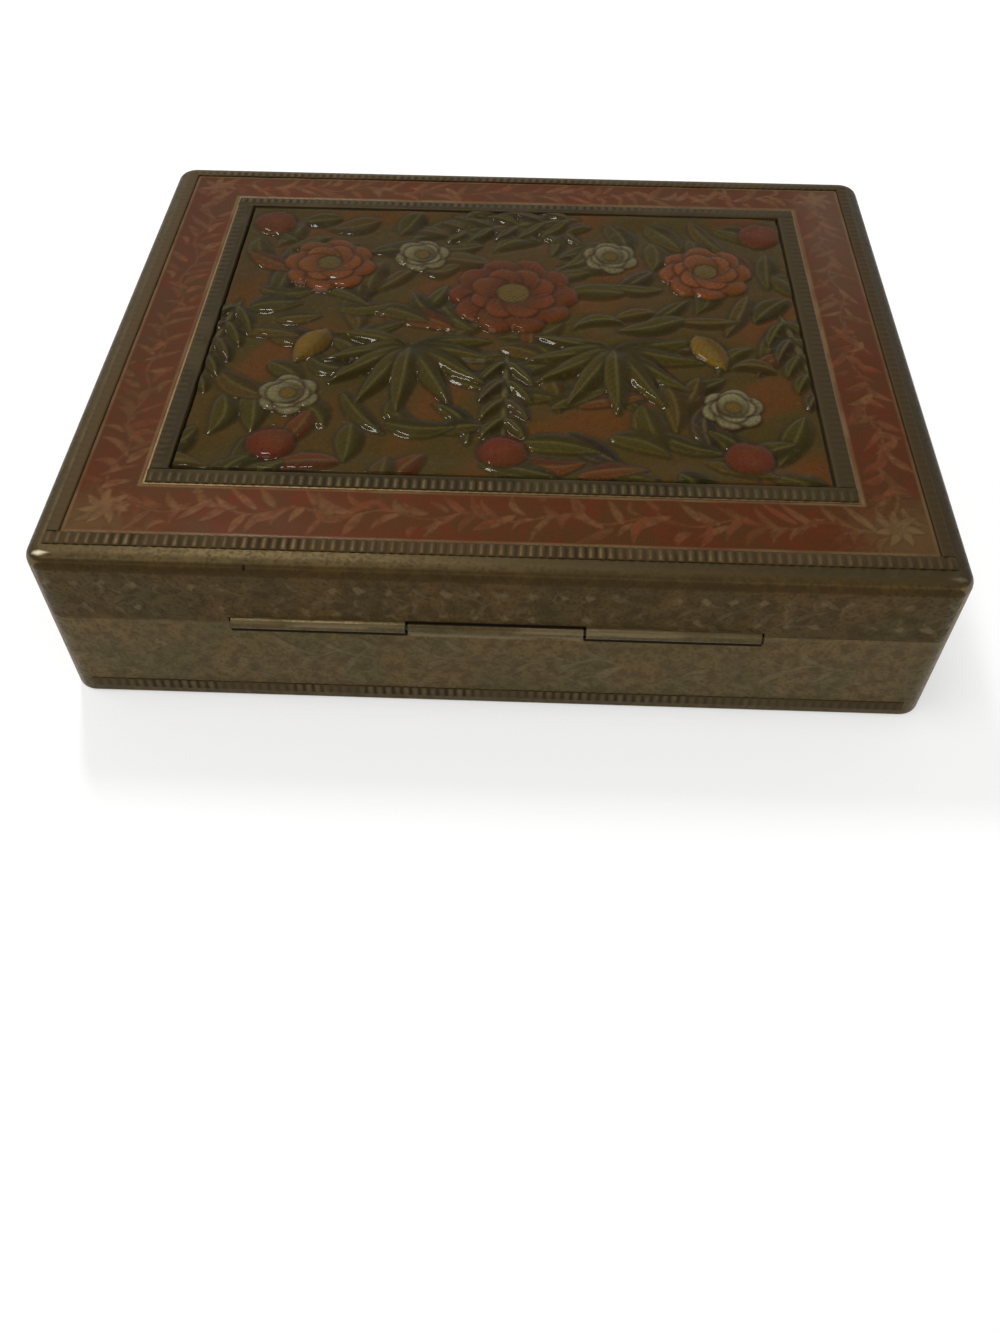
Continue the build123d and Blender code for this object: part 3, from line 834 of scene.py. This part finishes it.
def spray_leaf(root, heading, length, width, rise, colour, bend=0.0, vein=1.0):
    """One leaf: a dome across its width with a sunk midrib and slanting side veins, darker on
    one side of the midrib, pale along the rib and the rim."""
    inside, share, side = leaf(px, py, root, heading, length, width, bend)
    dome = rise * np.sqrt(np.clip(1 - side**2, 0, 1)) * smooth(share, 0, 0.22) * (1 - 0.45 * share)
    rib = np.exp(-((side * width / 0.22) ** 2))
    veins = 0.5 + 0.5 * np.cos(2 * pi * (share * length - np.abs(side) * width * 1.1) / 1.25)
    dome = 0.18 + dome - 0.10 * rib - 0.05 * vein * veins * (1 - rib)
    base = np.array(colour)
    shade = (1 - 0.42 * smooth(side, -0.1, 0.5))[..., None]
    tint = base * shade * (1 - 0.22 * vein * veins)[..., None]
    rim = smooth(0.20 - np.abs(inside - 0.28), 0, 0.2) * (side < 0)
    pale = np.clip(0.85 * rib + 0.45 * rim, 0, 1)[..., None]
    tint = tint * (1 - pale) + np.array((0.084, 0.068, 0.018)) * pale
    lay(inside, dome, tint)


def bloom(place, radius, petals, rise, colour, heart, start=0.0):
    """A blossom in rings of round petals, each a dome that leans down to the middle, with
    fine streaks from its root, and a stippled heart."""
    for ring, (share, count) in enumerate(((1.0, petals), (0.66, petals - 2))):
        for number in range(count):
            turned = start + (number + 0.5 * ring) * 2 * pi / count
            size = radius * share * sin(pi / count) * 1.12
            from_middle = radius * share - size
            cx, cy = place[0] + from_middle * cos(turned), place[1] + from_middle * sin(turned)
            dx, dy = px - cx, py - cy
            out = dx * cos(turned) + dy * sin(turned)
            aside = dy * cos(turned) - dx * sin(turned)
            reach = np.hypot(out * 0.82, aside)
            round_top = np.sqrt(np.clip(1 - (reach / size) ** 2, 0, 1))
            dome = rise * (0.55 + 0.25 * ring + 0.30 * round_top + 0.10 * out / size)
            streak = 0.5 + 0.5 * np.cos(aside * 2 * pi / 0.8)
            shade = 0.72 + 0.34 * np.clip(out / size, -1, 1) - 0.14 * streak
            tint = np.array(colour) * shade[..., None] * (1 + 0.18 * ring)
            lay(size - reach, dome, tint, line=(0.028, 0.010, 0.006), line_width=0.24)
    away = np.hypot(px - place[0], py - place[1])
    dots = 0.5 + 0.5 * np.sin(px * 7.2) * np.sin(py * 7.2 + 1)
    round_top = np.sqrt(np.clip(1 - (away / (radius * 0.3)) ** 2, 0, 1))
    dome = rise * (0.80 + 0.20 * round_top) - 0.06 * dots
    tint = np.array(heart) * (0.65 + 0.5 * dots)[..., None]
    lay(radius * 0.27 - away, dome, tint, line_width=0.22)


def fruit(place, radius, rise, colour):
    """A round fruit: a dome, paler towards the top, with dark seeds in slanting rows."""
    away = np.hypot(px - place[0], py - place[1])
    dome = 0.15 + rise * np.sqrt(np.clip(1 - (away / radius) ** 2, 0, 1))
    rows = np.cos((px + py) * 3.4) * np.cos((px - py) * 3.4)
    seeds = smooth(rows, 0.45, 0.8) * (0.4 + 0.3 * swell(px, py, 4, 8))
    tint = np.array(colour) * (1.12 - 0.4 * (away / radius) - 0.45 * seeds)[..., None]
    lay(radius - away, dome - 0.05 * seeds, tint, line=(0.026, 0.010, 0.006))


olive, moss, plum = (0.048, 0.036, 0.006), (0.036, 0.029, 0.006), (0.036, 0.022, 0.014)
earth, rust = (0.060, 0.035, 0.007), (0.100, 0.026, 0.007)
chance = np.random.default_rng(11)
# Low leaves fill the ground between the larger motifs: a jittered grid of them, which all
# lean with a slow swirl.
leaf_colours, how_often = (olive, moss, earth, plum, rust), (0.32, 0.26, 0.22, 0.08, 0.12)
for share_x in np.linspace(-0.93, 0.93, 14):
    for share_y in np.linspace(-0.92, 0.92, 10):
        root = np.array(at(share_x, share_y)) + chance.normal(0, 1.3, 2)
        heading = 90 + 75 * sin(2.2 * share_x + 2.6 * share_y) + chance.normal(0, 30)
        colour = leaf_colours[int(chance.choice(5, p=how_often))]
        bow = chance.normal(0, 0.9)
        length = chance.uniform(7, 12)
        width = chance.uniform(1.3, 2.3)
        spray_leaf(root, heading, length, width, rise=0.08, colour=colour, bend=bow, vein=0.6)
# Sprays: a long thin stalk with pairs of leaves that shorten towards its tip.
stalk, pairs = 21, 5
for share_x, share_y, heading in (
    (0.94, -0.20, 80), (-0.94, -0.18, 100), (0.24, -0.96, 168), (-0.26, -0.96, 12), (0.0, 0.16, 90),
):
    root = at(share_x, share_y)
    ahead = np.array((cos(radians(heading)), sin(radians(heading))))
    spray_leaf(root, heading, stalk, width=0.5, rise=0.25, colour=(0.075, 0.060, 0.024), vein=0.0)
    for number in range(pairs):
        fork = np.array(root) + ahead * stalk * (number + 0.5) / pairs
        length = 7 * (1 - 0.4 * number / pairs)
        for side in (-1, 1):
            colour = moss if (number + side) % 3 else plum
            turned, bow = heading + side * 35, side * 0.35
            spray_leaf(fork, turned, length, width=1.1, rise=0.34, colour=colour, bend=bow)
# Two fans of nine leaves, laid from the outside in, so that the middle leaf is on top.
for (share_x, share_y), lean in (((0.33, 0.14), 1), ((-0.36, 0.12), -1)):
    root = at(share_x, share_y)
    for number in sorted(range(9), key=lambda number: -abs(number - 4)):
        share = number / 8
        length = 15 * (0.8 + 0.2 * sin(pi * share))
        heading = 90 + 206 * (share - 0.5) + chance.normal(0, 2)
        bow = lean * 0.8 * (share - 0.5)
        spray_leaf(root, heading, length, width=1.75, rise=0.58, colour=olive, bend=bow)
# Buds between two sepals, then fruits, small pale blossoms, larger ones, and the largest.
for share_x, share_y, heading in ((0.62, 0.02, 65), (-0.64, 0.0, 115)):
    root = at(share_x, share_y)
    for turned in (24, -24):
        spray_leaf(root, heading + turned, length=5.5, width=0.9, rise=0.3, colour=moss)
    spray_leaf(root, heading, length=9, width=2.3, rise=0.38, colour=(0.150, 0.082, 0.010), vein=0.8)
for share_x, share_y in ((0.72, 0.82), (0.0, 0.84), (-0.76, 0.84), (0.90, -0.86), (-0.92, -0.84)):
    fruit(at(share_x, share_y), radius=3.2, rise=0.40, colour=(0.108, 0.022, 0.008))
cream, straw = (0.150, 0.130, 0.062), (0.120, 0.070, 0.012)
for share_x, share_y in ((0.33, -0.60), (-0.36, -0.62), (0.70, 0.50), (-0.73, 0.52)):
    place = at(share_x, share_y)
    bloom(place, radius=3.8, petals=6, rise=0.46, colour=cream, heart=straw, start=share_x)
coral, ochre = (0.155, 0.043, 0.011), (0.100, 0.070, 0.018)
for share_x, share_y in ((0.66, -0.50), (-0.70, -0.50)):
    place = at(share_x, share_y)
    bloom(place, radius=6.5, petals=8, rise=0.66, colour=coral, heart=ochre, start=share_x)
crimson, honey = (0.106, 0.025, 0.008), (0.105, 0.066, 0.016)
bloom(at(-0.01, -0.28), radius=9.0, petals=10, rise=0.70, colour=crimson, heart=honey)
# The paint is darkened overall and, as painted shade, more towards one side; a painted grey
# reflection lies over it away from the hinge.
darkened_and_shaded = 0.86 - 0.12 * smooth(px, -10, 30)[..., None]
painted_veil = 0.25 * smooth(py, 6, -30)[..., None]
paint = darkened_and_shaded * (paint * (1 - painted_veil) + np.array((0.050, 0.038, 0.022)) * painted_veil)
# The lacquer softens the relief: each point takes the mean of its neighbours, three times.
for _ in range(3):
    height[1:-1] = (height[:-2] + 2 * height[1:-1] + height[2:]) / 4
    height[:, 1:-1] = (height[:, :-2] + 2 * height[:, 1:-1] + height[:, 2:]) / 4
lacquer = 0.06 * swell(px, py, 6.5, 21) + 0.015 * swell(px, py, 2.6, 22)
# The sheet rises towards its frame, and its tallest swellings are flattened by the press.
from_edge = np.minimum(half_x - abs(px), half_y - abs(py - centre_y))
bank = 0.38 * (1 - smooth(from_edge, 0.3, 5.0))
height = np.maximum(0.10 + height + lacquer + bank, 0)
free = 0.6
spare = relief_depth - free
height = np.minimum(height, free) + spare * np.tanh(np.maximum(height - free, 0) / spare)
top = ground + height * smooth(from_edge, 0, 0.25)
top = low[2] + (top - low[2]) * (0.4 + 0.6 * smooth(from_edge, -0.02, 0.16))
garden = skin(
    "plaque", np.stack([px, py, top], -1).reshape(-1, 3), weave(*px.shape), paint=paint.reshape(-1, 3)
)
oils = Finish("plaque_paint")
spot = oils.place()
brushed = oils.node("Attribute", {"attribute_name": "paint"}, {}, "Color")
fine = oils.cloud(spot, 0.35, 3.0)
cloudy = oils.cloud(spot, 4.5, 4.0).rise(0.36, 0.64)
tone = oils.over(cloudy * 0.25, brushed, (0.046, 0.029, 0.005))
tone = oils.over(fine.rise(0.48, 0.66) * 0.32, tone, (0.024, 0.015, 0.003))
dust = oils.cloud(spot, 0.9, 3.0).rise(0.60, 0.72)
tone = oils.over(dust * 0.10, tone, (0.140, 0.108, 0.045))
oils_finish = oils.shade(
    Base_Color=tone,
    Metallic=0.2,
    Roughness=0.42 + fine * 0.2,
    Specular_IOR_Level=0.01,
    Coat_Weight=0.08,
    Coat_Roughness=0.04,
    Normal=oils.relief(fine * 0.03),
)
garden.data.materials.append(oils_finish)
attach(garden, "lid")
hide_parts("relief_plaque")


# Cedar lining
# Thin planed boards of cigar-box cedar: a floor board, four side boards standing on it, and one
# glued up under the plaque. They are left bare, with the edges eased by hand.
def eased_board(node, body, finish, easing):
    """A board in the place of its CAD piece. A rectangle with rounded corners is carried along
    its length; at each end it shrinks by a quarter circle and closes."""
    low, high = (np.array(corner) * 1000 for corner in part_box(node))
    size = high - low
    run = int(size.argmax())
    side_a, side_b = [axis for axis in range(3) if axis != run]
    per_corner = 5
    bow = np.linspace(0, pi / 2, per_corner)
    spread = np.concatenate([turn + bow for turn in (0, pi / 2, pi, 3 * pi / 2)])
    corner_a = np.repeat([1, -1, -1, 1], per_corner)
    corner_b = np.repeat([1, 1, -1, -1], per_corner)
    inward = np.concatenate([easing * (1 - np.sin(bow)), easing * (1 - np.sin(bow[::-1]))])
    station = np.concatenate([
        low[run] + easing * (1 - np.cos(bow)), high[run] - easing * (1 - np.cos(bow[::-1]))
    ])
    points = np.zeros((len(station) + 2, len(spread), 3))
    waves = (side_a, corner_a, np.cos(spread)), (side_b, corner_b, np.sin(spread))
    for axis, corner_sign, wave in waves:
        middle, half = (low[axis] + high[axis]) / 2, size[axis] / 2
        rounded = corner_sign * (half - easing) + easing * wave
        points[1:-1, :, axis] = middle + rounded - inward[:, None] * corner_sign * 0.8
    points[1:-1, :, run] = station[:, None]
    points[0], points[-1] = points[1].mean(0), points[-2].mean(0)
    faces = weave(len(points), len(spread), ring=True)
    axes = np.zeros((3, 3))
    axes[0, side_a], axes[1, side_b], axes[2, run] = 1, 1, 1
    if np.linalg.det(axes) < 0:
        faces = faces[:, ::-1]
    piece = skin(node + "_cedar", points.reshape(-1, 3), faces)
    piece.data.polygons.foreach_set("use_smooth", np.zeros(len(faces), bool))
    piece.data.materials.append(finish)
    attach(piece, body)
    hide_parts(node)


def cedar(name, stretch, aside):
    """Straight grain: long dark and light streaks, fine pores, and a slow change of redness."""
    finish = Finish(name)
    spot = finish.place()
    ring = finish.cloud(spot, 1.1, 4.0, stretch)
    fibre = finish.cloud(spot, 0.16, 3.0, stretch)
    broad = finish.cloud(spot, 11.0, 2.0, aside)
    tone = finish.over(ring.rise(0.35, 0.68), (0.215, 0.108, 0.050), (0.125, 0.054, 0.024))
    tone = finish.over(broad.rise(0.35, 0.65) * 0.45, tone, (0.170, 0.074, 0.034))
    tone = finish.over(fibre.rise(0.52, 0.72) * 0.5, tone, (0.075, 0.032, 0.015))
    return finish.shade(
        Base_Color=tone,
        Roughness=0.62 + fibre * 0.2,
        Specular_IOR_Level=0.3,
        Normal=finish.relief(fibre * -0.05 + ring * 0.02),
    )


cedar_long = cedar("cedar_long", (26, 1, 1), (3, 1, 1))
cedar_deep = cedar("cedar_deep", (1, 26, 1), (1, 3, 1))
eased_board("lining_floor", "base", cedar_long, easing=0.15)
for node in ("lining_front", "lining_back"):
    eased_board(node, "base", cedar_long, easing=0.35)
for node in ("lining_left", "lining_right"):
    eased_board(node, "base", cedar_deep, easing=0.35)
eased_board("lid_lining", "lid", cedar_long, easing=0.25)

# Thumb lip
# A small bent tab of brass soldered to the front of the lid, polished by the thumb that
# lifts it.
tab = Finish("tab_brass")
spot = tab.place()
x, y, _ = tab.split(spot)
tone, patch, speck = aged_brass(
    tab, spot, (0.130, 0.096, 0.050), (0.070, 0.052, 0.027), (0.110, 0.088, 0.046), size=0.8
)
rub = (1 - y.rise(-48.75, -48.1)) * (1 - abs(x).rise(4.5, 7.0))
rub = rub * tab.cloud(spot, 0.8, 2.0, (3, 1, 1)).rise(0.25, 0.55)
tone = tab.over(rub * 0.8, tone, (0.34, 0.255, 0.145))
tab_finish = tab.shade(
    Base_Color=tone,
    Metallic=0.92 - patch * 0.25,
    Roughness=0.38 + speck * 0.14 - rub * 0.12,
    Normal=tab.relief(patch * -0.015 - speck * 0.01),
)
refinish("thumb_lip", tab_finish)
